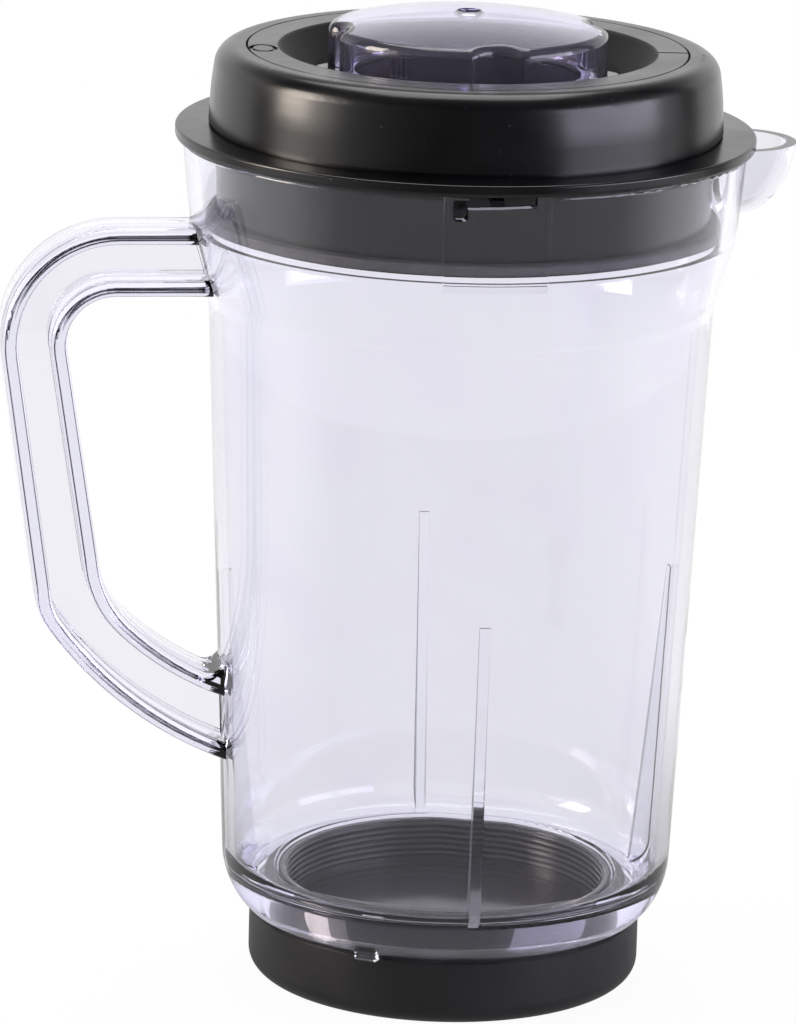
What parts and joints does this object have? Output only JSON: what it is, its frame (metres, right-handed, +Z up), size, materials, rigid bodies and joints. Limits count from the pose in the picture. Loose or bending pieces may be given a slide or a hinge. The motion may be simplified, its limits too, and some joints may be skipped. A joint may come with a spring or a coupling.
{
  "type": "blender jar",
  "caption": "Clear tapered blender jar with a moulded handle and pouring spout, a black lid with a clear filler cap, and a black screw cap closing its threaded neck",
  "frame": {"origin": "on the jar's axis, at the underside of the base cap", "axes": "+Z up along the jar's axis, +X towards the pouring spout, -X towards the handle, -Y towards the viewer of the picture"},
  "size_m": [0.1637, 0.119, 0.2044],
  "materials": {
    "clear_plastic": "clear polished moulding with a faint violet cast",
    "black_gloss": "glossy black moulding",
    "black_satin": "satin black moulding",
    "seal_rubber": "dark smooth silicone"
  },
  "bodies": {
    "jar": {"jar": "clear_plastic"},
    "lid_seal": {"lid_seal": "seal_rubber"},
    "lid": {"lid": "black_gloss"},
    "filler_cap": {"filler_cap": "clear_plastic"},
    "base_seal": {"base_seal": "seal_rubber"},
    "base_cap": {"base_cap": "black_satin"}
  },
  "joints": [
    {"name": "lid_lift", "type": "slide", "parent": "jar", "child": "lid_seal", "axis": [0, 0, 1], "range_m": [0, 0.04]},
    {"name": "lid_twist", "type": "hinge", "parent": "lid_seal", "child": "lid", "pos_m": [0, 0, 0.162], "axis": [0, 0, 1], "range_deg": [-7.5, 5.5]},
    {"name": "filler_lift", "type": "slide", "parent": "lid", "child": "filler_cap", "axis": [0, 0, 1], "range_m": [0, 0.025]},
    {"name": "base_drop", "type": "slide", "parent": "jar", "child": "base_seal", "axis": [0, 0, -1], "range_m": [0, 0.0072]},
    {"name": "base_unscrew", "type": "hinge", "parent": "base_seal", "child": "base_cap", "pos_m": [0, 0, 0.008], "axis": [0, 0, -1], "range_deg": [0, 720.3]}
  ],
  "couplings": [
    {"joint": "base_unscrew", "follows": "base_drop", "rad_per_m": 1745.3}
  ]
}
